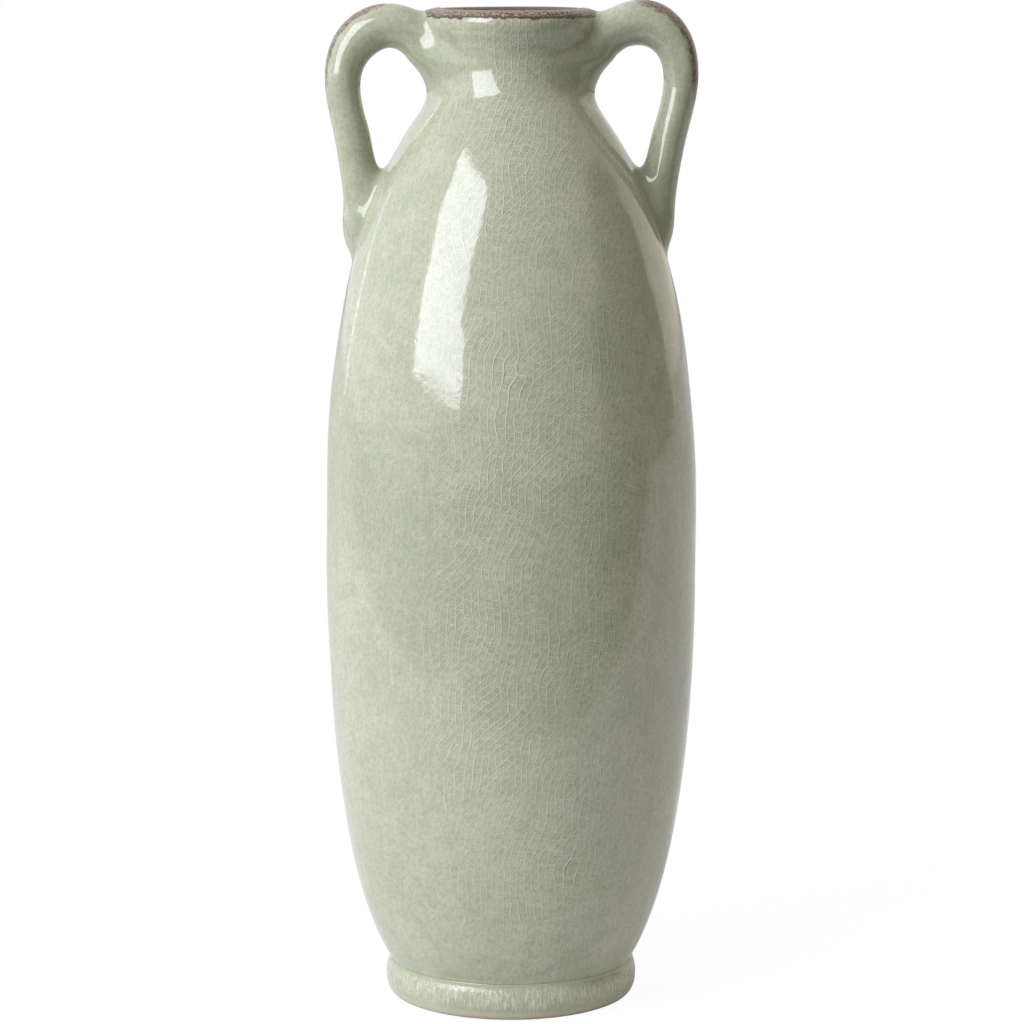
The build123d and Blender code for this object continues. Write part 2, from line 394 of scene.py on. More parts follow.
straps = {"left_handle": Strap(-1, handle_stations(-1)), "right_handle": Strap(1, handle_stations(1))}


def blend_reach(p):
    """How far the fillet reaches where a handle meets the pot by these points."""
    height = p[:, 2]
    heights, reaches = np.array(LUTE_BLENDS).T
    i = np.clip(np.searchsorted(heights, height) - 1, 0, len(heights) - 2)
    t = np.clip((height - heights[i]) / (heights[i + 1] - heights[i]), 0, 1)
    slim = 1 - LUTE_SLIM * (1 - np.exp(-(p[:, 1] / LUTE_SLIM_OVER) ** 2))
    return slim * (reaches[i] + (reaches[i + 1] - reaches[i]) * t * t * (3 - 2 * t))


def glazed(p, strap):
    """Signed distance to pot and strap under one coat of glaze, its slope, and how much is fillet."""
    pot, pot_out = wall(p)
    arm, arm_out = strap(p)
    reach = blend_reach(p)
    h = np.clip(1 - np.abs(pot - arm) / reach, 0, None)
    share = np.where(pot < arm, 1 - h / 2, h / 2)[:, None]
    return np.minimum(pot, arm) - h * h * reach / 4, pot_out * share + arm_out * (1 - share), h


def coat(p, strap):
    """Moves points out along the slope until they lie on the glaze."""
    p = p.copy()
    fillet = np.zeros(len(p))
    live = np.arange(len(p))
    for _ in range(COAT_TURNS):
        off, slope, h = glazed(p[live], strap)
        fillet[live] = h
        step = off[:, None] * slope / ((slope ** 2).sum(1) + TINY)[:, None]
        size = np.linalg.norm(step, axis=1)[:, None]
        p[live] -= step * np.minimum(1, COAT_STEP / np.maximum(size, LEAST))
        live = live[np.abs(off) > COAT_WITHIN]
        if not len(live):
            break
    return p, fillet


def slope_normals(p, strap, nudge=0.25):
    """Outward normals of the glaze by differences."""
    n = np.stack([glazed(p + nudge * axis, strap)[0] - glazed(p - nudge * axis, strap)[0]
                  for axis in np.eye(3)], 1)
    return n / np.linalg.norm(n, axis=1)[:, None]


# ================================================================ a hand's wobble

WAVES = np.random.default_rng(WAVE_SEED)
WAVE_AXES = WAVES.normal(size=(WAVE_COUNT, 3)) * WAVE_LEAN * 2 * math.pi / WAVE_LENGTH
WAVE_MOVES = WAVES.normal(size=(WAVE_COUNT, 3)) * WAVE_LIFT * WOBBLE / math.sqrt(WAVE_COUNT)
WAVE_STARTS = WAVES.uniform(0, 2 * math.pi, WAVE_COUNT)


def wobble(p):
    """How far each point strays, the turn of each wave there, and how much of the wobble is left."""
    phase = p @ WAVE_AXES.T + WAVE_STARTS
    calm = np.clip(p[:, 2:] / CALM_BELOW, 0, 1)
    stray = np.sin(phase) @ WAVE_MOVES * calm
    return stray, np.cos(phase), calm


def strayed(p, normals=None):
    """Points, and normals if given, after the wobble."""
    stray, turn, calm = wobble(p)
    if normals is None:
        return p + stray
    # the stray's slope along axis i is, for its part j, the sum over waves k of cos(phase_k) axis_ki move_kj
    along = normals @ WAVE_MOVES.T
    tilt = (turn * along) @ WAVE_AXES * calm
    tilted = normals - tilt
    return p + stray, tilted / np.linalg.norm(tilted, axis=1)[:, None]


# ================================================================ meshes

def add_object(name, data):
    """An object in the scene, from its mesh, light or camera."""
    holder = bpy.data.objects.new(name, data)
    bpy.context.scene.collection.objects.link(holder)
    return holder


def make_piece(name, points, faces, normals=None, **layers):
    """A smooth mesh object from points in millimetres, with a value per point for each layer."""
    mesh = bpy.data.meshes.new(name)
    mesh.from_pydata((points * MM).tolist(), [], faces)
    mesh.update()
    mesh.polygons.foreach_set("use_smooth", np.ones(len(mesh.polygons), bool))
    for layer, values in layers.items():
        data = mesh.attributes.new(layer, "FLOAT", "POINT").data
        data.foreach_set("value", np.asarray(values, np.float32))
    if normals is not None:
        own = np.empty(len(points) * 3, np.float32)
        mesh.vertex_normals.foreach_get("vector", own)
        own = own.reshape(-1, 3)
        given = np.isfinite(normals).all(1)
        own[given] = normals[given]
        mesh.normals_split_custom_set_from_vertices(own.tolist())
    return add_object(name, mesh)


def columns():
    """The angles of the pot's columns, close together about each handle."""
    near = np.arange(-HANDLE_SECTOR, HANDLE_SECTOR - TURN_FINE / 2, TURN_FINE)
    span = 180 - 2 * HANDLE_SECTOR
    far = HANDLE_SECTOR + np.arange(0, span - TURN_COARSE / 2, span / round(span / TURN_COARSE))
    half = np.concatenate([near, far])
    return np.radians(np.concatenate([half, half + 180]))


TURNS = columns()


def turn(points):
    """The rings that a run of outline points makes about the axis, one ring after another."""
    ring = np.stack([np.cos(TURNS), np.sin(TURNS)], 1)
    rows = [np.concatenate([ring * r, np.full((len(TURNS), 1), z)], 1) for r, z in points]
    return np.concatenate(rows)


def ring_faces(rows):
    """Quads between rings, and from the last ring back to the first."""
    n = len(TURNS)
    i = np.arange(rows)[:, None] * n
    up = (i + n) % (rows * n)
    j = np.arange(n)[None]
    k = (j + 1) % n
    return np.stack([i + j, i + k, up + k, up + j], 2).reshape(-1, 4).tolist()


def row_step(_, z):
    """The gap between rows at this height: fine at the handles, the lip and the foot."""
    if z < FOOT_ROWS_TO:
        return ROW_FOOT
    if z > LIP_ROWS_FROM:
        return ROW_LIP
    below_handles = min(1, max(0, (HANDLE_ROWS_FROM - z) / HANDLE_ROWS_OVER))
    above_foot = min(1, (z - FOOT_ROWS_TO) / FOOT_ROWS_OVER + FOOT_ROWS_START)
    return ROW_FINE + (ROW_COARSE - ROW_FINE) * below_handles * above_foot


def along_pot(arm_out, pot_out):
    """The part of the direction away from a handle that runs along the pot's face."""
    return arm_out - (arm_out * pot_out).sum(1)[:, None] * pot_out


def seat_straps(points):
    """Slides points of the pot on to the line where each handle meets it, then coats them with glaze."""
    points = points.copy()
    fillet = np.zeros(len(points))
    normals = np.full(points.shape, np.nan)
    for strap in straps.values():
        x, y, z = points.T
        near = np.flatnonzero((x * strap.side > LUTE_OUT) & (np.abs(y) < LUTE_WITHIN) & (z > LUTE_ABOVE))
        arm, arm_out = strap(points[near])
        _, pot_out = wall(points[near])
        gap = np.abs(arm) / (np.linalg.norm(along_pot(arm_out, pot_out), axis=1) + TINY)
        snap = near[gap < SEAT_WITHIN]
        for _ in range(SEAT_TURNS):
            q = points[snap]
            arm, arm_out = strap(q)
            along = along_pot(arm_out, wall(q)[1])
            q -= arm[:, None] * along / ((along ** 2).sum(1) + TINY)[:, None]
            pot, pot_out = wall(q)
            points[snap] = q - pot[:, None] * pot_out
        arm = strap(points[near])[0]
        show = near[(arm > SEEN_FROM) & (arm < FILLET_WITHIN)]
        points[show], h = coat(points[show], strap)
        fillet[show] = np.maximum(fillet[show], h)
        soft = show[h > 0]
        normals[soft] = slope_normals(points[soft], strap)
    return points, fillet, normals


def settle(points, normals):
    """Points and their known normals after the wobble."""
    known = np.isfinite(normals).all(1)
    moved = strayed(points)
    tilted = normals.copy()
    tilted[known] = strayed(points[known], normals[known])[1]
    return moved, tilted


def pot_layers(points, fillet):
    """Where glaze pools and where it wears, on a turned piece."""
    x, y, z = points.T
    groove = np.exp(-((z - FOOT_HEIGHT) / GROOVE_POOL) ** 2) * (np.hypot(x, y) > GROOVE_OUT)
    none = np.zeros(len(points))
    return {"pool": np.clip(fillet * FILLET_POOL + groove, 0, 1), "wear": none, "arm": none}


def apex_rows(rows):
    """How many rows there are up to the top of the lip."""
    return int(rows[:, 1].argmax()) + 1


def glaze_rows(points, start, stop, joint):
    """The points with the rows from start to stop under glaze, their fillets, and the normals there."""
    fillet = np.zeros(len(points))
    normals = np.full(points.shape, np.nan)
    shown = slice(start * len(TURNS), stop * len(TURNS))
    points[shown], fillet[shown], normals[shown] = seat_straps(points[shown])
    joint = slice(joint * len(TURNS), (joint + 1) * len(TURNS))
    normals[joint] = np.where(np.isfinite(normals[joint]), normals[joint], wall(points[joint])[1])
    return points, fillet, normals


def build_body():
    """The hollow body: its seat in the foot ring, outer face, bevel, inner face and floor."""
    outer = resample(body_outer, row_step)
    inner = outline(WALL)[::-1]
    floor = SEAT_HEIGHT + FLOOR_THICKNESS
    inner = inner[inner[:, 1] > floor + FLOOR_COVE * COVE_START]
    wall_end = inner[-1]
    cove_end = np.array([wall_end[0] - FLOOR_COVE, floor])
    cove = bezier(wall_end, wall_end - COVE_DROP, (wall_end[0] - COVE_RUN, floor), cove_end, steps=12)
    inside = join(resample(inner, ROW_INSIDE), cove,
                  np.array([cove_end, [FLOOR_RING, floor], [PINHOLE, floor]]))
    seat = FOOT_TOP_RADIUS - FOOT_WIDTH + FOOT_LEDGE
    under = np.array([[PINHOLE, SEAT_HEIGHT], [UNDER_RING, SEAT_HEIGHT], [seat, SEAT_HEIGHT],
                      [seat, FOOT_HEIGHT - SEAT_GAP]])
    rows = np.concatenate([under, outer, inside])
    end = len(under) + len(outer)
    points, fillet, normals = glaze_rows(turn(rows), len(under), end, joint=end - 1)
    layers = pot_layers(points, fillet)
    points, normals = settle(points, normals)
    return make_piece("body_glazed", points, ring_faces(len(rows)), normals, **layers)


def build_collar():
    """The collar: outer face, lip, throat and the bevel that sits on the body."""
    outer = join(resample(collar_outer[:lip_top + 1], row_step),
                 resample(collar_outer[lip_top:], ROW_THROAT))
    inside = arc(outer[-1], -90, FLARE_RADIUS + WALL, FLARE_ANGLE, steps=20)[1:]
    rows = np.concatenate([outer, inside])
    points, fillet, normals = glaze_rows(turn(rows), 0, apex_rows(outer), joint=0)
    layers = pot_layers(points, fillet)
    points, normals = settle(points, normals)
    return make_piece("collar_glazed", points, ring_faces(len(rows)), normals, **layers)


def build_foot():
    """The foot ring: the bead outside, the seat on top, the recess inside and the rest face."""
    bore = FOOT_TOP_RADIUS - FOOT_WIDTH
    seat = bore + FOOT_LEDGE
    rest = np.array([[bore + RECESS_ROUND, 0.0], [BEAD_RADIUS - FOOT_TUCK, 0.0]])
    rest, outer = soften(resample(rest, EDGE_ROUND / 5), foot_outer, EDGE_ROUND)
    outer = join(resample(rest, ROW_THROAT), resample(outer, row_step))
    top = np.array([[seat, FOOT_HEIGHT - SEAT_GAP], [seat, SEAT_HEIGHT], [bore, SEAT_HEIGHT]])
    recess = arc((bore, RECESS_ROUND), -90, RECESS_ROUND, 90, steps=8)
    rows = np.concatenate([outer, top, recess[:-1]])
    points = turn(rows)
    layers = pot_layers(points, np.zeros(len(points)))
    points = strayed(points)
    return make_piece("foot_glazed", points, ring_faces(len(rows)), **layers)


def buried(ring, depth, shrink):
    """A ring of points shrunk about its middle and laid this deep under the pot's face."""
    centre = ring.mean(0)
    q = centre + (ring - centre) * shrink
    for _ in range(BURY_TURNS):
        off, out = wall(q)
        q = q - (off + depth)[:, None] * out
    return q


def entry_lines(strap, angles):
    """How far along the strap each of its lines leaves the pot, and how far along it enters it again."""
    probe = np.linspace(0, strap.length, HANDLE_PROBES)
    grid_s, grid_angle = np.meshgrid(probe, angles, indexing="ij")
    pot = wall(strap.point(grid_s.ravel(), grid_angle.ravel()))[0].reshape(grid_s.shape)
    starts, stops = [], []
    middle = len(probe) // 2
    for column in pot.T:
        first = np.flatnonzero(column[:middle] < 0)[-1]
        last = middle + np.flatnonzero(column[middle:] < 0)[0]
        starts.append(np.interp(0, column[first:first + 2], probe[first:first + 2]))
        stops.append(np.interp(0, -column[last - 1:last + 1], probe[last - 1:last + 1]))
    return np.array(starts), np.array(stops)


def strap_faces(rows, n, side):
    """Quads between the rings of a handle, and a fan of triangles at each end."""
    j = np.arange(n)
    k = (j + 1) % n
    quads = np.concatenate([np.stack([i * n + j, i * n + k, (i + 1) * n + k, (i + 1) * n + j], 1)
                            for i in range(rows - 1)])
    first, last = rows * n, rows * n + 1
    fan_in = np.stack([np.full(n, first), k, j], 1)
    fan_out = np.stack([np.full(n, last), (rows - 1) * n + j, (rows - 1) * n + k], 1)
    return [row for run in (quads, fan_in, fan_out) for row in run[:, ::-side].tolist()]


def build_strap(name):
    """One handle, from its line on the neck to its line on the shoulder, closed inside the wall."""
    strap = straps[name]
    angles = np.linspace(0, 2 * math.pi, HANDLE_COLUMNS, endpoint=False)
    starts, stops = entry_lines(strap, angles)
    t = np.linspace(0, 1, HANDLE_ROWS)[:, None]
    s = (starts * (1 - t) + stops * t).ravel()
    around = np.tile(angles, HANDLE_ROWS)
    sharp = strap.point(s, around)
    points, fillet = coat(sharp, strap)
    normals = np.full(points.shape, np.nan)
    soft = fillet > 0
    normals[soft] = slope_normals(points[soft], strap)

    n = HANDLE_COLUMNS
    ring_in, ring_out = sharp[:n], sharp[-n:]
    tip_in, rim_in = buried(ring_in, *CAP_TIP), buried(ring_in, *CAP_RIM)
    tip_out, rim_out = buried(ring_out, *CAP_TIP), buried(ring_out, *CAP_RIM)
    stack = np.concatenate([tip_in, rim_in, points, rim_out, tip_out,
                            tip_in.mean(0)[None], tip_out.mean(0)[None]])
    blank = np.full((2 * n, 3), np.nan)
    normals = np.concatenate([blank, normals, blank, blank[:2]])
    pad = np.zeros(2 * n)
    pool, reach, face_out = (np.concatenate([pad, values, pad, pad[:2]]) for values in (
        fillet * FILLET_POOL, s / strap.length, np.cos(around + WEAR_TURN)))
    from_root, to_tail, edge = WEAR_RUNS[name]
    wear = np.clip((face_out - edge) / (1 - edge), 0, 1)
    wear *= np.clip((to_tail - reach) / WEAR_STOPS_OVER, 0, 1)
    wear *= np.clip((reach - from_root) / WEAR_STARTS_OVER, 0, 1)
    stack, normals = settle(stack, normals)
    arm = np.clip(wall(stack)[0] / ARM_OVER, 0, 1)
    return make_piece(name.replace("handle", "handle_glazed"), stack,
                      strap_faces(HANDLE_ROWS + 4, n, strap.side), normals, pool=pool, wear=wear, arm=arm)


pieces = {
    "body_shell": build_body(),
    "neck_collar": build_collar(),
    "foot_ring": build_foot(),
    "left_handle": build_strap("left_handle"),
    "right_handle": build_strap("right_handle"),
}
SLOTS = {"body_shell": "celadon_glaze", "neck_collar": "worn_glaze", "foot_ring": "foot_glaze",
         "left_handle": "worn_glaze", "right_handle": "worn_glaze"}


# ================================================================ material

class Nodes:
    """Builds a node tree: each call adds a node and returns the socket that comes out of it.

    Values go to the node's inputs by name, or by number as i0, i1 and so on.
    """

    def __init__(self, tree):
        self.tree = tree

    def add(self, kind, out=0, settings=None, **values):
        node = self.tree.nodes.new(kind)
        for key, value in (settings or {}).items():
            setattr(node, key, value)
        for key, value in values.items():
            numbered = key[0] == "i" and key[1:].isdigit()
            socket = node.inputs[int(key[1:]) if numbered else key]
            if isinstance(value, bpy.types.NodeSocket):
                self.tree.links.new(value, socket)
            else:
                socket.default_value = value
        return node.outputs[out]

    def math(self, operation, a, b=0.0):
        return self.add("ShaderNodeMath", settings={"operation": operation}, i0=a, i1=b)

    def times(self, a, b):
        return self.math("MULTIPLY", a, b)

    def plus(self, a, b):
        return self.math("ADD", a, b)

    def minus(self, a, b):
        return self.math("SUBTRACT", a, b)

    def most(self, a, b):
        return self.math("MAXIMUM", a, b)

    def vector(self, operation, a, b=(0, 0, 0), out=0):
        return self.add("ShaderNodeVectorMath", out=out, settings={"operation": operation}, i0=a, i1=b)

    def parts(self, vector):
        """The x, y and z of a vector."""
        return (self.add("ShaderNodeSeparateXYZ", out=i, i0=vector) for i in range(3))

    def scaled(self, vector, factors):
        return self.vector("MULTIPLY", vector, factors)

    def noise(self, vector, scale, detail=2.0, rough=0.5):
        return self.add("ShaderNodeTexNoise", Vector=vector, Scale=scale, Detail=detail, Roughness=rough)

    def chance(self, dimensions, **place):
        """A random value from 0 to 1 for each whole place."""
        return self.add("ShaderNodeTexWhiteNoise", settings={"noise_dimensions": dimensions}, **place)

    def ramp(self, value, low, high, to_low=0.0, to_high=1.0):
        """value carried smoothly from low..high to to_low..to_high."""
        return self.add("ShaderNodeMapRange", settings={"interpolation_type": "SMOOTHSTEP"}, Value=value,
                        i1=low, i2=high, i3=to_low, i4=to_high)

    def mix(self, factor, a, b):
        return self.add("ShaderNodeMix", out=2, settings={"data_type": "RGBA"}, i0=factor, i6=a, i7=b)

    def crackle_lines(self, place, shiver, axes, kind):
        """A value that passes a whole number at each line of one set."""
        gap, lean, fineness, reach = kind
        along, up = axes
        straight = self.times(self.plus(along, self.times(up, lean)), 1 / gap)
        sweep = self.times(self.noise(self.scaled(place, SWEEP_STRETCH), fineness, 1.0), reach)
        return self.plus(self.plus(straight, sweep), shiver)

    def layer(self, name):
        return self.add("ShaderNodeAttribute", out=2, settings={"attribute_name": name})


# colours, linear
SAGE = (0.366, 0.379, 0.268, 1)
SAGE_DEEP = (0.275, 0.300, 0.190, 1)
SAGE_PALE = (0.470, 0.470, 0.355, 1)
POOLED = (0.285, 0.310, 0.190, 1)
# each crack's painted highlight (also painted on the foot's runs), and its dark line with painted shade
PAINTED_HIGHLIGHT = (0.62, 0.63, 0.49, 1)
CRACK_AND_SHADE = (0.170, 0.185, 0.115, 1)
LIP_TOP_REFLECTION = (0.300, 0.240, 0.185, 1)
LIP_TAN = (0.360, 0.275, 0.170, 1)
STAIN = (0.290, 0.205, 0.135, 1)
THIN_GLAZE = (0.520, 0.470, 0.340, 1)
BROWN_AND_THROAT_SHADE = (0.070, 0.042, 0.024, 1)
CLAY = (0.480, 0.370, 0.250, 1)

# In the numbers below, a noise is how finely it varies per millimetre, its detail and its roughness.
# A ramp is where it starts and stops, and what it gives before and after where that isn't 0 and 1.

# the glaze's mottling, from broad clouds to fine grain, and how much of a darker or paler glaze each brings
BROAD = (0.022, 2.0, 0.55)
CLOUD = (0.13, 4.0, 0.62)
RUN = (0.34, 3.0, 0.6)
GRAIN = (0.62, 3.0, 0.75)
RUN_STRETCH = (1, 1, 0.12)
BROAD_SPREAD = (0.32, 0.68)
SAGE_SHARE = 0.74          # how much of the plain colour is left in the broad clouds
CLOUD_DEEP = (0.42, 0.64, 0.0, 0.42)
RUN_PALE = (0.5, 0.7, 0.0, 0.26)
GRAIN_DEEP = (0.46, 0.68, 0.0, 0.70)
GRAIN_PALE = (0.30, 0.46, 0.40, 0.0)
POOL_SHARE = 0.55

# the foot: runs of thick glaze between two heights with painted highlights on their ridges, thin glaze, a
# brown line and bare clay
DRIP = (0.95, 2.0, 0.6)
DRIP_STRETCH = (1, 1, 0.25)
DRIP_HIGHLIGHT = (0.46, 0.66, 0.0, 0.42)
DRIPS_FROM = (3.5, 7.0)
DRIPS_TO = (11.5, 15.0, 1.0, 0.0)
THIN_TO = (2.2, 5.0, 0.5, 0.0)
BROWN_TO = (0.9, 1.4, 0.75, 0.0)
BARE_TO = (0.35, 0.9, 1.0, 0.0)
RAGGED_THIN = 0.3          # how much of the lip's raggedness these edges have
RAGGED_BARE = 0.12

# the glaze's gloss and relief
GLAZE_IOR = 1.54
ROUGHNESS = 0.08
LIP_DULL = 0.30            # how much rougher it is where it is browned, bare and worn
BARE_DULL = 0.7
WORN_DULL = 0.2
UNDULATION = (0.045, 1.0, 0.45)     # of the relief: how fine, in how much detail, and how high in mm
RIPPLE = (0.3, 2.0, 0.05)
CRACK_RELIEF = 0.004
DRIP_RELIEF = 0.5
SPECK_RELIEF = 0.12

# the crackle
UPRIGHT = (2.9, -0.12, 0.028, 6.0)      # two sets of lines: gap, lean, how finely and how far they sweep
SLANTING = (3.3, -0.85, 0.024, 5.6)
SWEEP_STRETCH = (1, 1, 0.8)
SHIVER = 0.30              # how much the lines shake, small and large, in gaps
SHIVER_NOISE = (0.30, 2.0)
SWAY = 1.1
SWAY_NOISE = (0.10, 1.0)
ELSEWHERE = (170.0, 90.0, 40.0)         # where the slanting set takes its noise from
RUNG_GAP = 2.3             # between the short cracks that join the upright ones
RUNG_BEND = 3.0
RUNG_NOISE = (0.05, 1.0)
RUNG_SHUFFLE = 9.0         # how many gaps the rungs of one band may be out of step with the next
RUNG_STRENGTH = 0.75
COME_AND_GO = (0.10, 2.0)
PATCH_NOISE = (0.014, 1.0)
CRACK_AND_SHADE_LINE = 0.92           # how much of their own colour the lines take: the dark crack line with painted shade, and the painted highlight
HIGHLIGHT_LINE = 0.72
CRACK_AND_SHADE_SIDE = (0.02, 0.15, 1.0, 0.0)      # across a gap: the crack's dark line and painted shade at its start, a painted highlight at its end
HIGHLIGHT_SIDE = (0.85, 0.97)
UPRIGHT_SHOWS = (0.32, 0.56, 0.45, 1.0)
SLANTING_SHOWS = (0.44, 0.64, 0.95, 0.25)
RUNG_SHOWS = (0.25, 0.75)
PATCHES = (0.36, 0.58, 0.7, 1.0)
SEAM = (3.05, 3.12, 1.0, 0.0)           # where the lines fade, in radians round from the front
LEFT_FLANK = (-0.60, -0.10, 0.35, 1.0)
RIGHT_FLANK = (0.35, 0.95, 1.0, 0.55)
REAR = (1.3, 1.9)
LOW_DOWN = (8.0, 90.0, 0.35, 1.0)       # by height
ALONG_ARM = (0.0, 1.0, 1.0, 0.35)

# the worn lip, with painted shade down its throat and a painted reflection on its top, and the worn line
# along each handle
LIP_BAND = 3.3             # how far down from the rim the glaze has worn to brown
LIP_TOP = 0.6              # how far down the lip's top is painted mauve, a painted reflection of the white surroundings over the brown
THROAT_BAND = 9.0          # how far down the throat it is brown, darkened there by painted shade of the hollow
RAGGED = (0.28, 3.0, 0.65)
RAGGED_BY = 3.0            # how far the brown's edge strays
SPECK = (1.1, 3.0, 0.75)
SPECKS = (0.42, 0.56)
BAND_EDGE = (-0.25, 0.25, 1.0, 0.0)
BAND_DARK = (-1.3, -0.5)
RUB = (0.3, 3.0, 0.7)
RUB_BY = 0.9
WORN = (0.45, 0.75)
WORN_SHARE = 0.85
STAIN_NOISE = (0.9, 3.0, 0.7)
STAIN_SPREAD = (0.36, 0.60, 0.1, 1.0)


def glaze(name):
    """Crackled celadon: mottled, streaked, worn to brown at lip and handle edges, thick in the hollows;
    painted highlight and shade at the cracks, painted highlights on the foot's runs, a painted reflection on
    the lip's top and painted shade in the throat.
    """
    material = bpy.data.materials.new(name)
    material.use_nodes = True
    tree = material.node_tree
    n = Nodes(tree)
    place = n.scaled(n.add("ShaderNodeTexCoord", out=3), (1 / MM, 1 / MM, 1 / MM))
    x, y, z = n.parts(place)
    radius = n.vector("LENGTH", n.scaled(place, (1, 1, 0)), out=1)

    # crackle: upright lines, slanting lines across them and short rungs, each a painted highlight by a dark
    # crack line with painted shade, as if its edge stood raised
    round_from_front = n.math("ARCTAN2", x, n.times(y, -1.0))
    along = n.times(round_from_front, radius)
    shiver = n.plus(n.times(n.noise(place, *SHIVER_NOISE), SHIVER),
                    n.times(n.noise(place, *SWAY_NOISE), SWAY))
    upright = n.crackle_lines(place, shiver, (along, z), UPRIGHT)
    slanting = n.crackle_lines(n.vector("ADD", place, ELSEWHERE), shiver, (along, z), SLANTING)
    climb = n.times(n.minus(z, n.times(along, UPRIGHT[1])), 1 / RUNG_GAP)
    bend = n.times(n.noise(place, *RUNG_NOISE), RUNG_BEND)
    band = n.math("FLOOR", upright)
    shuffle = n.times(n.chance("1D", W=band), RUNG_SHUFFLE)
    rungs = n.plus(n.plus(climb, bend), n.plus(shuffle, shiver))
    cell = n.add("ShaderNodeCombineXYZ", i0=band, i1=n.math("FLOOR", rungs), i2=0.0)
    come_and_go = n.noise(place, *COME_AND_GO)
    sets = ((upright, n.ramp(come_and_go, *UPRIGHT_SHOWS)),
            (slanting, n.ramp(come_and_go, *SLANTING_SHOWS)),
            (rungs, n.times(n.ramp(n.chance("2D", Vector=cell), *RUNG_SHOWS), RUNG_STRENGTH)))
    crack_and_shade, light = 0.0, 0.0
    for lines, strength in sets:
        across = n.math("FRACT", lines)
        crack_and_shade = n.most(crack_and_shade, n.times(n.ramp(across, *CRACK_AND_SHADE_SIDE), strength))
        light = n.most(light, n.times(n.ramp(across, *HIGHLIGHT_SIDE), strength))

    # it fades in patches, at the seam behind, on the front's flanks, low down and along the handles
    off_front = n.math("ABSOLUTE", round_from_front)
    patches = n.ramp(n.noise(place, *PATCH_NOISE), *PATCHES)
    flanks = n.times(n.ramp(round_from_front, *LEFT_FLANK), n.ramp(round_from_front, *RIGHT_FLANK))
    flanks = n.most(flanks, n.ramp(off_front, *REAR))
    clear = n.times(n.times(patches, n.ramp(off_front, *SEAM)), flanks)
    clear = n.times(clear, n.ramp(z, *LOW_DOWN))
    clear = n.times(clear, n.ramp(n.layer("arm"), *ALONG_ARM))
    crack_and_shade, light = n.times(crack_and_shade, clear), n.times(light, clear)

    # mottling at three sizes, and streaks where the glaze ran
    cloud = n.noise(place, *CLOUD)
    run = n.noise(n.scaled(place, RUN_STRETCH), *RUN)
    grain = n.noise(place, *GRAIN)
    colour = n.mix(n.ramp(n.noise(place, *BROAD), *BROAD_SPREAD), SAGE_DEEP, SAGE_PALE)
    colour = n.mix(SAGE_SHARE, colour, SAGE)
    for noise, spread, tone in ((cloud, CLOUD_DEEP, SAGE_DEEP), (run, RUN_PALE, SAGE_PALE),
                                (grain, GRAIN_DEEP, SAGE_DEEP), (grain, GRAIN_PALE, SAGE_PALE)):
        colour = n.mix(n.ramp(noise, *spread), colour, tone)
    colour = n.mix(n.times(n.layer("pool"), POOL_SHARE), colour, POOLED)
    # each crack's dark line with painted shade, and the painted highlight beside it
    colour = n.mix(n.times(crack_and_shade, CRACK_AND_SHADE_LINE), colour, CRACK_AND_SHADE)
    colour = n.mix(n.times(light, HIGHLIGHT_LINE), colour, PAINTED_HIGHLIGHT)

    # brown lip, with a painted reflection on its top and painted shade down the throat
    ragged = n.times(n.minus(n.noise(place, *RAGGED), 0.5), RAGGED_BY)
    drop = n.minus(RIM_HEIGHT, z)
    inside = n.ramp(radius, NECK_RADIUS - 1.0, NECK_RADIUS + 0.6, 1.0, 0.0)
    out_from_axis = n.plus(radius, n.times(ragged, 0.5))
    on_lip = n.ramp(out_from_axis, LIP_RADIUS + 0.2, LIP_RADIUS + 1.4, 1.0, 0.0)
    reach = n.plus(LIP_BAND, n.times(inside, THROAT_BAND - LIP_BAND))
    past = n.minus(n.plus(drop, ragged), reach)
    browned = n.times(n.ramp(past, *BAND_EDGE), on_lip)
    speck = n.ramp(n.noise(place, *SPECK), *SPECKS)
    edge = n.ramp(past, *BAND_DARK)
    # the lip's top: brown specks under a painted reflection of the white surroundings
    lip_reflection = n.mix(n.times(speck, 0.5), LIP_TOP_REFLECTION, BROWN_AND_THROAT_SHADE)
    tan = n.mix(speck, LIP_TAN, BROWN_AND_THROAT_SHADE)
    lip = n.mix(n.ramp(n.plus(drop, n.times(ragged, 0.4)), LIP_TOP - 0.4, LIP_TOP + 0.4), lip_reflection, tan)
    # inside the throat the brown is darkened almost to black: painted shade of the hollow
    lip = n.mix(n.most(edge, n.times(inside, 0.8)), lip, BROWN_AND_THROAT_SHADE)
    colour = n.mix(browned, colour, lip)

    # brown line along the outer edge of each handle
    patchy = n.times(n.minus(n.noise(place, *RUB), 0.5), RUB_BY)
    worn = n.ramp(n.plus(n.layer("wear"), patchy), *WORN)
    stain = n.mix(n.ramp(n.noise(place, *STAIN_NOISE), *STAIN_SPREAD), STAIN, BROWN_AND_THROAT_SHADE)
    colour = n.mix(n.times(worn, WORN_SHARE), colour, stain)

    # runs of thick glaze on the foot with painted highlights on their ridges, thin glaze at its bottom edge,
    # a brown line, and bare clay under it
    drip_zone = n.times(n.ramp(z, *DRIPS_FROM), n.ramp(z, *DRIPS_TO))
    drips = n.noise(n.scaled(place, DRIP_STRETCH), *DRIP)
    # the runs' ridges painted pale as highlight
    colour = n.mix(n.times(n.ramp(drips, *DRIP_HIGHLIGHT), drip_zone), colour, PAINTED_HIGHLIGHT)
    low = n.plus(z, n.times(ragged, RAGGED_THIN))
    colour = n.mix(n.ramp(low, *THIN_TO), colour, THIN_GLAZE)
    colour = n.mix(n.ramp(low, *BROWN_TO), colour, STAIN)
    bare = n.ramp(n.plus(z, n.times(ragged, RAGGED_BARE)), *BARE_TO)
    colour = n.mix(bare, colour, CLAY)

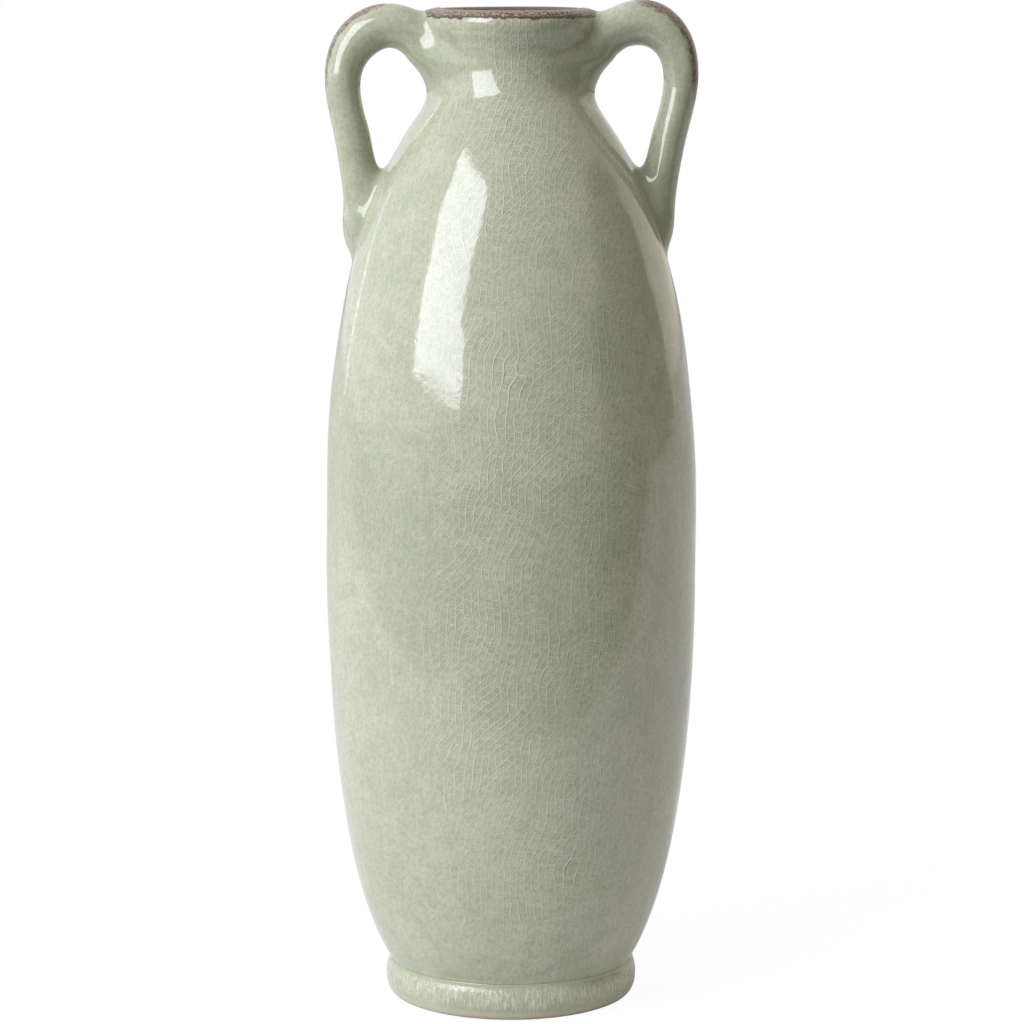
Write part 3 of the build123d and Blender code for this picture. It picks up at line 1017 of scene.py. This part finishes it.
    # gloss, and the small relief of the glaze
    dull = n.most(n.times(browned, LIP_DULL), n.times(bare, BARE_DULL))
    dull = n.most(dull, n.times(worn, WORN_DULL))
    rough = n.plus(n.ramp(cloud, 0.35, 0.65, ROUGHNESS - 0.02, ROUGHNESS + 0.03), dull)
    height = 0.0
    for fineness, detail, size in (UNDULATION, RIPPLE):
        height = n.plus(n.times(n.noise(place, fineness, detail), size), height)
    height = n.plus(height, n.times(n.minus(light, crack_and_shade), CRACK_RELIEF))
    height = n.plus(height, n.times(n.times(drips, drip_zone), DRIP_RELIEF))
    height = n.plus(height, n.times(n.times(speck, browned), SPECK_RELIEF))
    bump = n.add("ShaderNodeBump", Strength=1.0, Distance=MM, Height=height)
    shader = tree.nodes["Principled BSDF"]
    tree.links.new(colour, shader.inputs["Base Color"])
    tree.links.new(rough, shader.inputs["Roughness"])
    tree.links.new(bump, shader.inputs["Normal"])
    shader.inputs["IOR"].default_value = GLAZE_IOR
    return material


materials = {name: glaze(name) for name in sorted(set(SLOTS.values()))}
for node, piece in pieces.items():
    piece.data.materials.append(materials[SLOTS[node]])
    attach(piece, "root")
    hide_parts(node)


# ================================================================ stage, lights, camera (metres)

TABLE_EDGE = ((-3.0, 2.05, 0), (-0.37, -0.53, 0), (3.0, 0.38, 0), (3.0, 4.0, 0), (-3.0, 4.0, 0))
PAPER = (0.70, 0.70, 0.71, 1)
PAPER_SEEN = (0.98, 0.98, 0.98, 1)
PAPER_GLARE = 0.95         # how much of the table's look is even white light to the camera

WARM_SIDE = (1.0, 0.93, 0.86, 1)
COOL = (0.975, 0.985, 1.075, 1)
STRIP_ACROSS = (0.68, 0.73)         # the narrow strip light's x and y across it
STRIP_WIDTH = (0.012, 0.022, 1.0, 0.0)
STRIP_LEFT = (-0.2, 0.0, 1.8, 0.0)
# the studio's walls by the x, y and z of a direction, as ramps: where they are, and how much they glow
BEHIND = (0.05, 0.55)
LEFT = (-0.9, -0.45, 1.0, 0.0)
DIM_RIGHT = (0.79, 0.86)
DIM_TO_BACK = (0.45, 0.78, 1.0, 0.0)
DIM_SEEN = (0.0, 1.0, 1.0, 0.08)
FRONT_SEEN = 0.75
LEFT_SEEN = 1.1
BEHIND_GLOW = 1.1
LEFT_GLOW = 1.75
RIGHT_GLOW = (0.50, 0.90, 0.06, 0.90)
CEILING_GLOW = (0.55, 0.95, 0.0, 0.7)
GROUND = (-0.08, -0.02, 0.12, 1.0)
WARMTH = (-0.2, 0.6)

SOFTBOX_PLACE = (-0.95, -0.91, 0.95)
SOFTBOX_ACROSS = (0.64, -0.766, -0.07)
SOFTBOX_UP = (0.427, 0.129, 0.894)
SOFTBOX_SIZE = (0.86, 1.22)
SOFTBOX_POWER = 26.0       # in watts

CAMERA_PLACE = (0, -1.55, 0.45)
CAMERA_AIM = (0, 0, 0.205)
CAMERA_SHIFT = (0.001, -0.007)
FILM = 36                  # width of the film and the lens's focal length, in millimetres
LENS = 133.92422
SEES_TO = 50


def build_floor():
    """A white table top, whose front corner is nearer than the camera's view."""
    mesh = bpy.data.meshes.new("table")
    mesh.from_pydata(TABLE_EDGE, [], [range(len(TABLE_EDGE))])
    floor = add_object("table", mesh)
    material = bpy.data.materials.new("paper")
    material.use_nodes = True
    tree = material.node_tree
    n = Nodes(tree)
    camera_ray = n.add("ShaderNodeLightPath", out=0)
    sheet = n.add("ShaderNodeBsdfDiffuse", Color=n.mix(camera_ray, PAPER, PAPER_SEEN))
    glare = n.add("ShaderNodeEmission", Color=(1, 1, 1, 1), Strength=1.0)
    share = n.times(camera_ray, PAPER_GLARE)
    tree.links.new(n.add("ShaderNodeMixShader", i0=share, i1=sheet, i2=glare),
                   tree.nodes["Material Output"].inputs["Surface"])
    floor.data.materials.append(material)


def build_camera():
    """The camera in front of the vase, a little above its top, looking down at its middle."""
    camera = bpy.data.cameras.new("camera")
    camera.sensor_width = FILM
    camera.lens = LENS
    camera.shift_x, camera.shift_y = CAMERA_SHIFT
    camera.clip_end = SEES_TO
    holder = add_object("camera", camera)
    holder.location = CAMERA_PLACE
    holder.rotation_euler = (Vector(CAMERA_AIM) - holder.location).to_track_quat("-Z", "Y").to_euler()
    bpy.context.scene.camera = holder


def build_softbox():
    """The key light: a tall softbox to the front left, leaning over a little."""
    light = bpy.data.lights.new("softbox", "AREA")
    light.shape = "RECTANGLE"
    light.size, light.size_y = SOFTBOX_SIZE
    light.energy = SOFTBOX_POWER
    light.color = COOL[:3]
    holder = add_object("softbox", light)
    across = Vector(SOFTBOX_ACROSS).normalized()
    back = across.cross(Vector(SOFTBOX_UP)).normalized()
    turned = Matrix((across, back.cross(across), back)).transposed()
    holder.matrix_world = Matrix.Translation(SOFTBOX_PLACE) @ turned.to_4x4()


def build_world():
    """A studio, white to the camera, that glows one way in reflections and another on what it lights."""
    world = bpy.data.worlds.new("studio")
    world.use_nodes = True
    tree = world.node_tree
    n = Nodes(tree)
    look = n.add("ShaderNodeTexCoord", out=0)
    x, y, z = n.parts(look)
    side = n.times(n.ramp(x, *DIM_RIGHT), n.ramp(y, *DIM_TO_BACK))
    behind = n.ramp(y, *BEHIND)
    left = n.ramp(x, *LEFT)
    mirrored = n.most(n.most(behind, n.times(left, LEFT_SEEN)), FRONT_SEEN)
    mirrored = n.times(mirrored, n.ramp(side, *DIM_SEEN))
    off_strip = n.math("ABSOLUTE", n.plus(n.times(x, STRIP_ACROSS[0]), n.times(y, STRIP_ACROSS[1])))
    strip = n.times(n.ramp(off_strip, *STRIP_WIDTH), n.ramp(x, *STRIP_LEFT))
    mirrored = n.plus(mirrored, strip)
    spread = n.most(n.times(behind, BEHIND_GLOW), n.times(left, LEFT_GLOW))
    spread = n.most(spread, n.ramp(x, *RIGHT_GLOW))
    spread = n.plus(spread, n.ramp(z, *CEILING_GLOW))
    glossy_ray = n.add("ShaderNodeLightPath", out=3)
    glow = n.add("ShaderNodeMix", settings={"data_type": "FLOAT"}, i0=glossy_ray, i2=spread, i3=mirrored)
    glow = n.times(glow, n.ramp(z, *GROUND))
    tint = n.mix(n.ramp(x, *WARMTH), COOL, WARM_SIDE)
    seen = n.add("ShaderNodeLightPath", out=0)
    strength = n.add("ShaderNodeMix", settings={"data_type": "FLOAT"}, i0=seen, i2=glow, i3=1.0)
    back = tree.nodes["Background"]
    tree.links.new(n.mix(seen, tint, (1, 1, 1, 1)), back.inputs["Color"])
    tree.links.new(strength, back.inputs["Strength"])
    bpy.context.scene.world = world


build_floor()
build_camera()
build_softbox()
build_world()
bpy.context.scene.view_settings.view_transform = "Standard"
